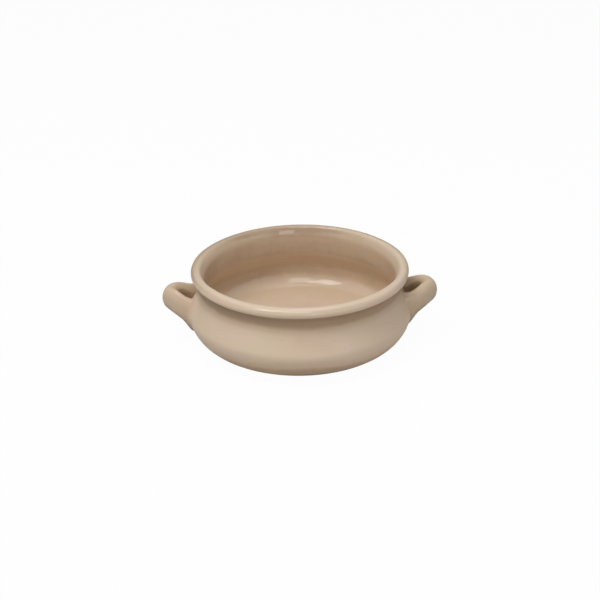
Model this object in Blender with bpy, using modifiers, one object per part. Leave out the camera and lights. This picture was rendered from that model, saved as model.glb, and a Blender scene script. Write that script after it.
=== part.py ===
"""Tapas dish: a small glazed stoneware bowl with a rolled rim and two looped ear handles.

The bowl is thrown on the wheel in one piece, the handles are shaped by hand, and both ends of
each handle are stuck to the wall with a pad of slip. The dish stands on the plane z = 0,
centred on the Z axis, with one handle at each end of the X axis. Lengths are in metres.
"""

import math

import bmesh
import bpy
from mathutils import Matrix, Vector

# Bowl
HEIGHT = 0.0487
RIM_DIAMETER = 0.1300
RIM_ROLL = 0.0062
LIP_ROUND = 0.0020
RIM_OVERHANG = 0.0046
NECK_BELOW_LIP = 0.0020
BELLY_OUTSIDE_RIM = 0.0018
BELLY_HEIGHT = 0.0188
UNDER_FULLNESS_ACROSS = 2.45
UNDER_FULLNESS_DOWN = 1.7
INSIDE_FULLNESS = 2.2
INSIDE_RIDGE_INSET = 0.0079
INSIDE_RIDGE_BELOW_RIM = 0.0146
BELLY_WALL = 0.0050
FLOOR = 0.0055
FOOT_DIAMETER = 0.0816
FOOT_RING_WIDTH = 0.0070
FOOT_RECESS = 0.0012

# Handles: a strap bent into a loop that rises outward from the wall
HANDLE_REACH = 0.0158
STRAP_TIP_THICKNESS = 0.0098
STRAP_ROOT_THICKNESS = 0.0078
STRAP_TIP_DEPTH = 0.0142
STRAP_ROOT_DEPTH = 0.0166
LOOP_ROOT_BELOW_RIM = 0.0237
LOOP_RISE = 0.0049
LOOP_ROOT_SPACING = 0.0182
LOOP_OUTER_FULLNESS = 1.85
LOOP_INNER_FULLNESS = 2.2
ROOT_FLARE_DOWN = 0.0046
ROOT_FLARE_ACROSS = 0.0010
ROOT_FLARE_LENGTH = 0.0065

# Slip that sticks a handle to the wall
SLIP_THICKNESS = 0.0008
SLIP_OVERHANG = 0.0004
SEAT_GAP = 0.0003

# Lip section: where its round part starts and ends, from the outward direction
LIP_INNER_ANGLE = math.radians(160)
LIP_OUTER_ANGLE = math.radians(-65)

# Pull of each curve's ends, as a share of its own rise or fall
OUTSIDE_NECK_PULL = 0.5
OUTSIDE_BELLY_PULL = 0.2
INSIDE_RIDGE_PULL = 0.4
INSIDE_BELLY_PULL = 0.4
INSIDE_FLARE_PULL = 0.5
INSIDE_LIP_PULL = 0.35
CREASE_LIP_PULL = 0.5
CREASE_NECK_PULL = 0.4

# Fineness of the meshes
TURN_STEPS = 72
LIP_EDGE_STEPS = 4
LIP_ROLL_STEPS = 9
CREASE_STEPS = 3
FLARE_STEPS = 5
SHOULDER_STEPS = 7
BELLY_STEPS = 10
LOOP_STEPS = 20
STRAP_SIDES = 20
MERGE_DISTANCE = 0.00001

# Finish
GLAZE_COLOUR = (0.60, 0.46, 0.33, 1.0)
GLAZE_ROUGHNESS = 0.15
SLIP_COLOUR = (0.52, 0.40, 0.29, 1.0)
SLIP_ROUGHNESS = 0.6

# How each handle is turned, and which side of its own loop an arm is on
HANDLE_TURNS = {"right": 0.0, "left": math.pi}
ARM_SIDES = {"right": {"front": -1, "back": 1}, "left": {"front": 1, "back": -1}}

rim_radius = RIM_DIAMETER / 2
neck_radius = rim_radius - RIM_OVERHANG
neck_height = HEIGHT - RIM_ROLL - NECK_BELOW_LIP
ridge_radius = rim_radius - INSIDE_RIDGE_INSET
ridge_height = HEIGHT - INSIDE_RIDGE_BELOW_RIM
belly_radius = rim_radius + BELLY_OUTSIDE_RIM
foot_radius = FOOT_DIAMETER / 2
loop_root_height = HEIGHT - LOOP_ROOT_BELOW_RIM
seat_distance = SEAT_GAP + SLIP_THICKNESS + SEAT_GAP


def clear_scene():
    """Remove every object that the open file holds."""
    for obj in list(bpy.data.objects):
        bpy.data.objects.remove(obj, do_unlink=True)


def make_collection(name):
    """Return a new collection linked to the scene."""
    collection = bpy.data.collections.new(name)
    bpy.context.scene.collection.children.link(collection)
    return collection


def make_material(name, colour, roughness):
    """Return a plain non-metal material."""
    material = bpy.data.materials.new(name)
    material.use_nodes = True
    shader = material.node_tree.nodes["Principled BSDF"]
    shader.inputs["Base Color"].default_value = colour
    shader.inputs["Roughness"].default_value = roughness
    shader.inputs["Metallic"].default_value = 0.0
    return material


def eased(share):
    """Return a share from 0 to 1 with an even start and stop."""
    return share * share * (3 - 2 * share)


def bezier(start, start_pull, end_pull, end, steps):
    """Return the points of a cubic curve, with its start and without its end."""
    points = []
    for i in range(steps):
        t = i / steps
        points.append(
            start * (1 - t) ** 3
            + start_pull * 3 * t * (1 - t) ** 2
            + end_pull * 3 * t**2 * (1 - t)
            + end * t**3
        )
    return points


def wall_curve(neck, neck_pull, belly, belly_pull, low_height, full_across, full_down):
    """Return one side of the wall from neck to base, as (radius, height) points going down."""
    fall = neck.y - belly.y
    points = bezier(
        neck,
        neck - Vector((0, fall * neck_pull)),
        belly + Vector((0, fall * belly_pull)),
        belly,
        SHOULDER_STEPS,
    )
    for i in range(BELLY_STEPS + 1):
        angle = math.pi / 2 * i / BELLY_STEPS
        out = max(math.cos(angle), 0.0) ** (2 / full_across)
        down = math.sin(angle) ** (2 / full_down)
        points.append(
            Vector((
                foot_radius + (belly.x - foot_radius) * out,
                belly.y + (low_height - belly.y) * down,
            ))
        )
    return points


def outside_curve():
    """Return the outside of the wall, from the neck down to the foot."""
    neck = Vector((neck_radius, neck_height))
    belly = Vector((belly_radius, BELLY_HEIGHT))
    return wall_curve(
        neck,
        OUTSIDE_NECK_PULL,
        belly,
        OUTSIDE_BELLY_PULL,
        0.0,
        UNDER_FULLNESS_ACROSS,
        UNDER_FULLNESS_DOWN,
    )


def inside_curve():
    """Return the inside of the wall, from the ridge under the lip down to the floor."""
    ridge = Vector((ridge_radius, ridge_height))
    belly = Vector((belly_radius - BELLY_WALL, BELLY_HEIGHT))
    return wall_curve(
        ridge,
        INSIDE_RIDGE_PULL,
        belly,
        INSIDE_BELLY_PULL,
        FLOOR,
        INSIDE_FULLNESS,
        INSIDE_FULLNESS,
    )


def lip_curve():
    """Return the rolled lip, from the ridge inside it over the crest to the neck outside.

    The crest lies near the inside, and the roll falls away from it outward.
    """
    roll_width = RIM_ROLL - LIP_ROUND
    roll_half_height = RIM_ROLL / 2
    crest_radius = rim_radius - roll_width

    def on_edge(angle):
        return Vector((
            crest_radius + LIP_ROUND * math.cos(angle),
            HEIGHT - LIP_ROUND + LIP_ROUND * math.sin(angle),
        ))

    def on_roll(angle):
        return Vector((
            crest_radius + roll_width * math.cos(angle),
            HEIGHT - roll_half_height + roll_half_height * math.sin(angle),
        ))

    def along(width, half_height, angle):
        return Vector((width * math.sin(angle), -half_height * math.cos(angle))).normalized()

    ridge = Vector((ridge_radius, ridge_height))
    neck = Vector((neck_radius, neck_height))
    first = on_edge(LIP_INNER_ANGLE)
    last = on_roll(LIP_OUTER_ANGLE)
    rise = first.y - ridge.y
    fall = last.y - neck.y

    points = bezier(
        ridge,
        ridge + Vector((0, rise * INSIDE_FLARE_PULL)),
        first - along(LIP_ROUND, LIP_ROUND, LIP_INNER_ANGLE) * rise * INSIDE_LIP_PULL,
        first,
        FLARE_STEPS,
    )
    crest_angle = math.pi / 2
    for i in range(LIP_EDGE_STEPS):
        part = i / LIP_EDGE_STEPS
        points.append(on_edge(LIP_INNER_ANGLE + (crest_angle - LIP_INNER_ANGLE) * part))
    for i in range(LIP_ROLL_STEPS):
        part = i / LIP_ROLL_STEPS
        points.append(on_roll(crest_angle + (LIP_OUTER_ANGLE - crest_angle) * part))
    points += bezier(
        last,
        last + along(roll_width, roll_half_height, LIP_OUTER_ANGLE) * fall * CREASE_LIP_PULL,
        neck + Vector((0, fall * CREASE_NECK_PULL)),
        neck,
        CREASE_STEPS,
    )
    return points


def bowl_profile():
    """Return the bowl's section, from the middle of the floor round to the foot's recess."""
    ring_inner = foot_radius - FOOT_RING_WIDTH
    points = [Vector((0, FLOOR))]
    points += reversed(inside_curve()[1:])
    points += lip_curve()
    points += outside_curve()
    points.append(Vector((ring_inner, 0)))
    points.append(Vector((ring_inner - FOOT_RECESS, FOOT_RECESS)))
    points.append(Vector((0, FOOT_RECESS)))
    return points


def offset_wall(distance):
    """Return the wall's outside moved outward along its normals."""
    points = outside_curve()
    moved = []
    for i, point in enumerate(points):
        before = points[max(i - 1, 0)]
        after = points[min(i + 1, len(points) - 1)]
        along = (after - before).normalized()
        moved.append(point + distance * Vector((-along.y, along.x)))
    return moved


def wall_radius(height):
    """Return the outside radius of the wall at a height."""
    points = outside_curve()
    for above, below in zip(points, points[1:]):
        if above.y >= height >= below.y:
            part = (above.y - height) / (above.y - below.y)
            return above.x + (below.x - above.x) * part
    return neck_radius


def turn_profile(name, points, collection, closed=False):
    """Return an object turned round the Z axis from (radius, height) points."""
    mesh = bpy.data.meshes.new(name)
    verts = [(p.x, 0.0, p.y) for p in points]
    edges = [(i, i + 1) for i in range(len(points) - 1)]
    if closed:
        edges.append((len(points) - 1, 0))
    mesh.from_pydata(verts, edges, [])
    obj = bpy.data.objects.new(name, mesh)
    collection.objects.link(obj)
    screw = obj.modifiers.new("turn", "SCREW")
    screw.axis = "Z"
    screw.steps = TURN_STEPS
    screw.render_steps = TURN_STEPS
    screw.use_merge_vertices = True
    screw.merge_threshold = MERGE_DISTANCE
    screw.use_smooth_shade = True
    return obj


def loop_outline(root, length, half_width, fullness):
    """Return one face of the loop's strap in plan, from the -Y root round to the +Y root."""
    power = 2 / fullness
    points = []
    for i in range(LOOP_STEPS + 1):
        angle = math.pi * (i / LOOP_STEPS - 0.5)
        out = max(math.cos(angle), 0.0) ** power
        across = math.copysign(abs(math.sin(angle)) ** power, angle)
        points.append(Vector((root + length * out, half_width * across)))
    # Both ends run on into the wall, deep enough to be cut to it at every height.
    inward = Vector((neck_radius - belly_radius - BELLY_WALL, 0))
    return [points[0] + inward] + points + [points[-1] + inward]


def loop_rings():
    """Return the strap's rings as (centre, half side, half depth), from root to root.

    The half side is a level vector from the strap's middle to its outer face. The first and
    the last ring lie inside the wall.
    """
    half_spacing = LOOP_ROOT_SPACING / 2
    half_root = STRAP_ROOT_THICKNESS / 2
    root = math.sqrt(wall_radius(loop_root_height) ** 2 - half_spacing**2)
    outer_length = belly_radius + HANDLE_REACH - root
    inner_length = outer_length - STRAP_TIP_THICKNESS
    outer = loop_outline(root, outer_length, half_spacing + half_root, LOOP_OUTER_FULLNESS)
    inner = loop_outline(root, inner_length, half_spacing - half_root, LOOP_INNER_FULLNESS)
    middle_length = (outer_length + inner_length) / 2

    rings = []
    for far, near in zip(outer, inner):
        middle = (far + near) / 2
        half_side = (far - near) / 2
        reach = middle.x - root
        share = min(max(reach / middle_length, 0.0), 1.0)
        height = loop_root_height + LOOP_RISE * eased(share)
        depth = STRAP_ROOT_DEPTH + (STRAP_TIP_DEPTH - STRAP_ROOT_DEPTH) * share**2
        near_root = eased(min(max(1 - reach / ROOT_FLARE_LENGTH, 0.0), 1.0))
        flare_down = ROOT_FLARE_DOWN * near_root
        flare_across = ROOT_FLARE_ACROSS * near_root
        half_side *= 1 + flare_across / half_side.length
        rings.append((
            Vector((middle.x, middle.y, height - flare_down / 2)),
            Vector((half_side.x, half_side.y, 0)),
            (depth + flare_down) / 2,
        ))
    return rings


def loft_strap(name, rings, extra=0.0):
    """Return a closed mesh through oval rings, each made wider all round by extra."""
    bm = bmesh.new()
    loops = []
    for i, (centre, half_side, half_depth) in enumerate(rings):
        side = half_side * (1 + extra / half_side.length)
        up = Vector((0, 0, half_depth + extra))
        frame = Matrix((side, up, side.cross(up).normalized())).transposed().to_4x4()
        frame.translation = centre
        ring = bmesh.ops.create_circle(
            bm,
            cap_ends=i in (0, len(rings) - 1),
            radius=1.0,
            segments=STRAP_SIDES,
            matrix=frame,
        )
        members = set(ring["verts"])
        loops.append([e for e in bm.edges if e.verts[0] in members and e.verts[1] in members])
    for first, second in zip(loops, loops[1:]):
        bmesh.ops.bridge_loops(bm, edges=first + second)
    bmesh.ops.recalc_face_normals(bm, faces=bm.faces)
    mesh = bpy.data.meshes.new(name)
    bm.to_mesh(mesh)
    bm.free()
    mesh.shade_smooth()
    return mesh


def cut_with(obj, cutter, operation):
    """Give an object a Boolean with a cutter."""
    boolean = obj.modifiers.new(cutter.name, "BOOLEAN")
    boolean.operation = operation
    boolean.solver = "EXACT"
    boolean.object = cutter


def hide_cutter(obj):
    """Show a cutter as wires only."""
    obj.hide_render = True
    obj.display_type = "WIRE"


def make_bowl(collection):
    """Return the thrown bowl with its lip and foot ring."""
    bowl = turn_profile("bowl", bowl_profile(), collection)
    bowl.data.materials.append(make_material("bowl_glaze", GLAZE_COLOUR, GLAZE_ROUGHNESS))
    return bowl


def make_wall_cutter(collection):
    """Return the solid that cuts a handle's ends to stand clear of the slip."""
    seat = offset_wall(seat_distance)
    points = [Vector((0, seat[0].y))] + seat + [Vector((0, seat[-1].y))]
    cutter = turn_profile("wall_seat_cutter", points, collection)
    hide_cutter(cutter)
    return cutter


def make_slip_band(collection):
    """Return the thin turned band that the slip fills, just outside the wall."""
    inner = offset_wall(SEAT_GAP)
    outer = offset_wall(SEAT_GAP + SLIP_THICKNESS)
    band = turn_profile("slip_band_cutter", outer + inner[::-1], collection, closed=True)
    hide_cutter(band)
    return band


def make_handles(collection, wall_cutter):
    """Return the two handles, which share one mesh."""
    mesh = loft_strap("handle", loop_rings())
    mesh.materials.append(make_material("handle_glaze", GLAZE_COLOUR, GLAZE_ROUGHNESS))
    handles = []
    for side, turn in HANDLE_TURNS.items():
        handle = bpy.data.objects.new(f"handle_{side}", mesh)
        handle.rotation_euler.z = turn
        collection.objects.link(handle)
        cut_with(handle, wall_cutter, "DIFFERENCE")
        handles.append(handle)
    return handles


def make_slip_pads(collection, band):
    """Return the pads of slip, one under each end of each handle."""
    rings = loop_rings()
    root_rings = rings[: len(rings) // 4]
    minus_y = loft_strap("slip_minus_y", root_rings, SLIP_OVERHANG)
    minus_y.materials.append(make_material("luting_slip", SLIP_COLOUR, SLIP_ROUGHNESS))
    plus_y = minus_y.copy()
    plus_y.name = "slip_plus_y"
    plus_y.transform(Matrix.Scale(-1, 4, Vector((0, 1, 0))))
    plus_y.flip_normals()
    arms = {-1: minus_y, 1: plus_y}
    pads = []
    for side, turn in HANDLE_TURNS.items():
        for place, sign in ARM_SIDES[side].items():
            pad = bpy.data.objects.new(f"luting_slip_{side}_{place}", arms[sign])
            pad.rotation_euler.z = turn
            collection.objects.link(pad)
            cut_with(pad, band, "INTERSECT")
            pads.append(pad)
    return pads


def main():
    """Build the dish."""
    clear_scene()
    dish = make_collection("tapas_dish")
    cutters = make_collection("cutters")
    wall_cutter = make_wall_cutter(cutters)
    slip_band = make_slip_band(cutters)

    centre = bpy.data.objects.new("dish_centre", None)
    dish.objects.link(centre)
    pieces = [make_bowl(dish)]
    pieces += make_handles(dish, wall_cutter)
    pieces += make_slip_pads(dish, slip_band)
    for piece in pieces:
        piece.parent = centre


main()
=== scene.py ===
"""Looks of the tapas dish: a thrown stoneware bowl with two ear handles under one beige glaze.

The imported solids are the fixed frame. Every piece is built round them in metres, in the same
frame: the dish stands on z = 0, its handles point along X and its front faces -Y.
"""

import logging
import math
from dataclasses import dataclass, field, replace
from enum import Enum

import bmesh
import bpy
import numpy as np
from bpy.types import ID, Material, Node, NodeSocket, NodeTree, Object, bpy_prop_collection
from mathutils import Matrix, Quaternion, Vector


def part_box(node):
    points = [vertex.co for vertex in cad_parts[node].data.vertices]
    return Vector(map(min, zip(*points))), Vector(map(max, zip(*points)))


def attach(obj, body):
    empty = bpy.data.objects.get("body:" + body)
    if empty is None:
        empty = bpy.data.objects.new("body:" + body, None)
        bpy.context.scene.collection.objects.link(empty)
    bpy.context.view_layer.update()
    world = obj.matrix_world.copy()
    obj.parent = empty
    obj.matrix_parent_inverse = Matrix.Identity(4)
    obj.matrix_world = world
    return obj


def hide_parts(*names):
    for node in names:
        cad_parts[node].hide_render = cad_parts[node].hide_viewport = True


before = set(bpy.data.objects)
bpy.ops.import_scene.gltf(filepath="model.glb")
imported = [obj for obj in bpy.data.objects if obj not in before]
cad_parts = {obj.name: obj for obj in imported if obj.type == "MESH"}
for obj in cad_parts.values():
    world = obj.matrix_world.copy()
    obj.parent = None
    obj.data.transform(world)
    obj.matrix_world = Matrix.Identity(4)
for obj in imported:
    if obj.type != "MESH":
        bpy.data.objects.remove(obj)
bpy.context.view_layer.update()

log = logging.getLogger("tapas_dish")

BODY = "root"
MM = 0.001

Array = np.ndarray
Pair = tuple[float, float]
Rgba = tuple[float, float, float, float]


class Named(Enum):
    """A choice that is part of a solid's name."""

    @property
    def label(self) -> str:
        """Return the choice as the solids spell it."""
        return self.name.lower()


class Side(Named):
    """The two sides of the dish that carry a handle, with the way each points along X."""

    LEFT = -1
    RIGHT = 1


class Arm(Named):
    """The two arms of a handle, with the way each lies along Y."""

    FRONT = -1
    BACK = 1


class Ends(Enum):
    """How the first and the last ring of a skin are closed."""

    CLOSED = "closed"
    JOINED = "joined"


def smoothstep(values: Array, start: float | Array = 0.0, stop: float = 1.0) -> Array:
    """Return an eased step from 0 at one value to 1 at another, held at both ends."""
    held = np.clip((values - start) / (stop - start), 0.0, 1.0)
    return held * held * (3 - 2 * held)


def bezier(*points: Pair | Array, steps: int) -> Array:
    """Return a cubic curve in the section plane, with its start and without its end.

    Args:
        *points: Start, its pull, the end's pull and the end, as (radius, height).
        steps: Number of points to return.

    Returns:
        An array of (radius, height) rows.
    """
    start, start_pull, end_pull, end = (np.array(point) for point in points)
    t = np.linspace(0, 1, steps, endpoint=False)[:, None]
    return (
        start * (1 - t) ** 3
        + start_pull * 3 * t * (1 - t) ** 2
        + end_pull * 3 * t**2 * (1 - t)
        + end * t**3
    )


def lengths_along(points: Array) -> Array:
    """Return the running length of a line of points, from 0 at its first point."""
    steps = np.linalg.norm(np.diff(points, axis=0), axis=1)
    return np.concatenate(([0.0], np.cumsum(steps)))


def resample(points: Array, places: Array) -> Array:
    """Return the points of a line at given lengths along it.

    Args:
        points: The line, one point per row.
        places: Lengths from the line's start.

    Returns:
        One point per place.
    """
    along = lengths_along(points)
    columns = [np.interp(places, along, points[:, i]) for i in range(points.shape[1])]
    return np.stack(columns, axis=1)


def unit(vectors: Array) -> Array:
    """Return vectors of length 1 along the given ones."""
    return vectors / np.linalg.norm(vectors, axis=-1, keepdims=True)


def add_object(name: str, data: ID) -> Object:
    """Return a new object, linked to the scene.

    Args:
        name: The object's name.
        data: Its mesh, lamp or camera.

    Returns:
        The object.
    """
    obj = bpy.data.objects.new(name, data)
    bpy.context.scene.collection.objects.link(obj)
    return obj


def direction(azimuth: float, elevation: float) -> Vector:
    """Return the way from the dish to a place round it.

    Args:
        azimuth: Degrees to the right of the dish's front.
        elevation: Degrees above the table.

    Returns:
        A vector of length 1.
    """
    around, up = math.radians(azimuth), math.radians(elevation)
    return Vector((math.sin(around) * math.cos(up), -math.cos(around) * math.cos(up), math.sin(up)))


def skin(name: str, rings: Array, ends: Ends) -> Object:
    """Return a closed smooth mesh through rings of points.

    Args:
        name: Name of the new object.
        rings: Points as (ring, place round the ring, xyz). Each ring is closed on itself.
        ends: CLOSED fills the first and the last ring, JOINED sews them together.

    Returns:
        The new object.
    """
    count, around, _ = rings.shape
    points = [tuple(p) for p in rings.reshape(-1, 3)]
    steps = [(k, (k + 1) % around) for k in range(around)]
    pairs = [(ring, ring + 1) for ring in range(count - 1)]
    if ends is Ends.JOINED:
        pairs.append((count - 1, 0))
    faces = [
        (low * around + k, low * around + n, high * around + n, high * around + k)
        for low, high in pairs
        for k, n in steps
    ]
    if ends is Ends.CLOSED:
        for ring in (0, count - 1):
            faces += [(ring * around + k, ring * around + n, len(points)) for k, n in steps]
            points.append(tuple(rings[ring].mean(axis=0)))

    mesh = bpy.data.meshes.new(name)
    mesh.from_pydata(points, [], faces)
    bm = bmesh.new()
    bm.from_mesh(mesh)
    bmesh.ops.recalc_face_normals(bm, faces=bm.faces)
    bm.to_mesh(mesh)
    bm.free()
    mesh.shade_smooth()
    return add_object(name, mesh)


def paint(obj: Object, name: str, values: Array, filler: float) -> None:
    """Store one number per point of a piece, for its material to read.

    Args:
        obj: The piece.
        name: Name of the attribute.
        values: One value per point of the piece's rings.
        filler: Value for the points that close the ends.
    """
    attribute = obj.data.attributes.new(name, "FLOAT", "POINT")
    full = np.full(len(obj.data.vertices), filler, np.float32)
    full[: values.size] = values.ravel()
    attribute.data.foreach_set("value", full)


@dataclass(frozen=True)
class HandTouch:
    """The slight unevenness of a pot made by hand, shared by every piece.

    The rim and the wall are a little out of round, and the rim's top waves up and down.
    """

    height: float
    oval: float = 0.16 * MM
    lobes: float = 0.10 * MM
    rim_wave: float = 0.14 * MM
    oval_turn: float = 0.6
    lobe_turn: float = 2.1
    wave_turn: float = 1.3

    def shape(self, points: Array) -> Array:
        """Return points moved as the potter's hands left them.

        Args:
            points: An array whose last axis is xyz.

        Returns:
            The moved points, in the same layout.
        """
        x, y, z = points[..., 0], points[..., 1], points[..., 2]
        radius = np.hypot(x, y)
        angle = np.arctan2(y, x)
        rise = np.clip(z / self.height, 0, 1)
        reach = smoothstep(radius / self.height)
        out = self.oval * np.cos(2 * (angle - self.oval_turn))
        out = (out + self.lobes * np.cos(3 * (angle - self.lobe_turn))) * rise * reach
        up = self.rim_wave * np.cos(2 * (angle - self.wave_turn)) * rise**2 * reach
        least_radius = self.height / 4
        grow = 1 + out / np.maximum(radius, least_radius)
        return np.stack((x * grow, y * grow, z + up), axis=-1)


@dataclass(frozen=True)
class WallProfile:
    """The section of the bowl, from the middle of its floor over the lip to its underside."""

    height: float
    belly_radius: float
    belly_outside_rim: float = 1.8 * MM
    rim_roll: float = 6.2 * MM
    lip_round: float = 2.0 * MM
    rim_overhang: float = 4.6 * MM
    neck_below_lip: float = 2.0 * MM
    belly_height: float = 18.8 * MM
    under_fullness: Pair = (2.45, 1.7)
    floor_fullness: Pair = (2.2, 2.2)
    ridge_inset: float = 7.9 * MM
    ridge_below_rim: float = 14.6 * MM
    belly_wall: float = 5.0 * MM
    floor: float = 5.5 * MM
    foot_radius: float = 40.8 * MM
    foot_ring_width: float = 7.0 * MM
    foot_recess: float = 1.2 * MM
    foot_edge: float = 0.5 * MM
    lip_inner_angle: float = math.radians(160)
    lip_outer_angle: float = math.radians(-65)
    outside_pulls: Pair = (0.5, 0.2)
    inside_pulls: Pair = (0.4, 0.4)
    flare_pulls: Pair = (0.5, 0.35)
    crease_pulls: Pair = (0.5, 0.4)
    angle_step: float = 0.01
    height_step: float = 0.2 * MM
    steps: int = 64

    @property
    def rim_radius(self) -> float:
        """Return the lip's outside radius."""
        return self.belly_radius - self.belly_outside_rim

    @property
    def roll_width(self) -> float:
        """Return how far the lip's roll reaches outward from its crest."""
        return self.rim_roll - self.lip_round

    @property
    def crest(self) -> float:
        """Return the radius of the lip's crest."""
        return self.rim_radius - self.roll_width

    @property
    def neck(self) -> Pair:
        """Return the narrowest place outside, just under the lip."""
        return self.rim_radius - self.rim_overhang, self.height - self.rim_roll - self.neck_below_lip

    @property
    def ridge(self) -> Pair:
        """Return the narrowest place inside, where the collar of the lip meets the wall."""
        return self.rim_radius - self.ridge_inset, self.height - self.ridge_below_rim

    def side(self, top: Pair, pulls: Pair, belly_radius: float, low: float, fullness: Pair) -> Array:
        """Return one side of the wall, going down.

        Args:
            top: Where the side starts.
            pulls: How far the curve runs straight at its top and at the belly, as shares of its fall.
            belly_radius: The side's widest radius.
            low: Height at which the side turns into the floor or the foot.
            fullness: How squarely the side turns there, across and down.

        Returns:
            An array of (radius, height) rows.
        """
        fall = top[1] - self.belly_height
        shoulder = bezier(
            top,
            (top[0], top[1] - fall * pulls[0]),
            (belly_radius, self.belly_height + fall * pulls[1]),
            (belly_radius, self.belly_height),
            steps=self.steps,
        )
        angle = np.linspace(0, math.pi / 2, self.steps)
        out = np.clip(np.cos(angle), 0, None) ** (2 / fullness[0])
        down = np.sin(angle) ** (2 / fullness[1])
        belly = np.stack(
            (
                self.foot_radius + (belly_radius - self.foot_radius) * out,
                self.belly_height + (low - self.belly_height) * down,
            ),
            axis=1,
        )
        return np.concatenate((shoulder, belly))

    def outside(self) -> Array:
        """Return the outside of the wall, from the neck down to the foot."""
        return self.side(self.neck, self.outside_pulls, self.belly_radius, 0.0, self.under_fullness)

    def inside(self) -> Array:
        """Return the inside of the wall, from the ridge down to the floor."""
        belly_radius = self.belly_radius - self.belly_wall
        return self.side(self.ridge, self.inside_pulls, belly_radius, self.floor, self.floor_fullness)

    def on_roll(self, angle: float | Array) -> Array:
        """Return places on the roll outside the lip's crest.

        Args:
            angle: Angles up from the outward direction.

        Returns:
            A (radius, height) row for each angle.
        """
        half = self.rim_roll / 2
        turned = np.stack((self.roll_width * np.cos(angle), half * np.sin(angle)), axis=-1)
        return np.array((self.crest, self.height - half)) + turned

    def lip(self) -> Array:
        """Return the rolled lip, from the ridge inside it over the crest to the neck outside.

        The crest lies near the inside, and the roll falls away from it outward.

        Returns:
            An array of (radius, height) rows.
        """
        angle = np.linspace(self.lip_inner_angle, math.pi / 2, self.steps // 2, endpoint=False)
        edge = self.lip_round * np.stack((np.cos(angle), np.sin(angle)), axis=1)
        edge += np.array((self.crest, self.height - self.lip_round))
        roll = self.on_roll(np.linspace(math.pi / 2, self.lip_outer_angle, self.steps, endpoint=False))
        first, last = edge[0], self.on_roll(self.lip_outer_angle)
        along_first = np.array((math.sin(self.lip_inner_angle), -math.cos(self.lip_inner_angle)))
        along_last = unit(last - self.on_roll(self.lip_outer_angle + self.angle_step))
        rise = first[1] - self.ridge[1]
        fall = last[1] - self.neck[1]
        flare = bezier(
            self.ridge,
            (self.ridge[0], self.ridge[1] + rise * self.flare_pulls[0]),
            first - along_first * rise * self.flare_pulls[1],
            first,
            steps=self.steps,
        )
        crease = bezier(
            last,
            last + along_last * fall * self.crease_pulls[0],
            (self.neck[0], self.neck[1] + fall * self.crease_pulls[1]),
            self.neck,
            steps=self.steps // 2,
        )
        return np.concatenate((flare, edge, roll, crease))

    def underside(self) -> Array:
        """Return the foot ring's face and the shallow recess that it stands round.

        Returns:
            An array of (radius, height) rows.
        """
        inner = self.foot_radius - self.foot_ring_width
        shoulder = inner - self.foot_recess
        flat = (shoulder - self.foot_recess, self.foot_recess)
        corner = bezier(
            (inner + self.foot_edge, 0.0),
            (inner, 0.0),
            (inner, 0.0),
            (inner - self.foot_edge / 2, self.foot_edge),
            steps=self.steps // 8,
        )
        bend = bezier(
            (inner - self.foot_recess / 2, self.foot_recess - self.foot_edge / 4),
            (shoulder, self.foot_recess),
            (shoulder, self.foot_recess),
            flat,
            steps=self.steps // 8,
        )
        return np.concatenate((corner, bend, [flat]))

    def radius_at(self, height: Array) -> Array:
        """Return the outside radius of the wall at heights between the foot and the neck."""
        points = self.outside()[::-1]
        return np.interp(height, points[:, 1], points[:, 0])

    def on_wall(self, points: Array, lift: float = 0.0) -> Array:
        """Return points moved level onto the wall, and then along its normal.

        Args:
            points: An array whose last axis is xyz.
            lift: Distance outside the wall.

        Returns:
            The moved points, in the same layout.
        """
        angle = np.arctan2(points[..., 1], points[..., 0])
        radius = self.radius_at(points[..., 2])
        flat = np.stack((radius * np.cos(angle), radius * np.sin(angle), points[..., 2]), axis=-1)
        return flat + self.normal_at(points) * lift

    def normal_at(self, points: Array) -> Array:
        """Return the wall's outward normals beside points.

        Args:
            points: An array whose last axis is xyz. They need not lie on the wall.

        Returns:
            Unit normals, in the same layout.
        """
        step = self.height_step
        height = points[..., 2]
        lean = (self.radius_at(height + step) - self.radius_at(height - step)) / (2 * step)
        angle = np.arctan2(points[..., 1], points[..., 0])
        return unit(np.stack((np.cos(angle), np.sin(angle), -lean), axis=-1))

    def gap(self, points: Array) -> Array:
        """Return how far points lie outside the wall, measured level."""
        return np.hypot(points[..., 0], points[..., 1]) - self.radius_at(points[..., 2])


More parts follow.
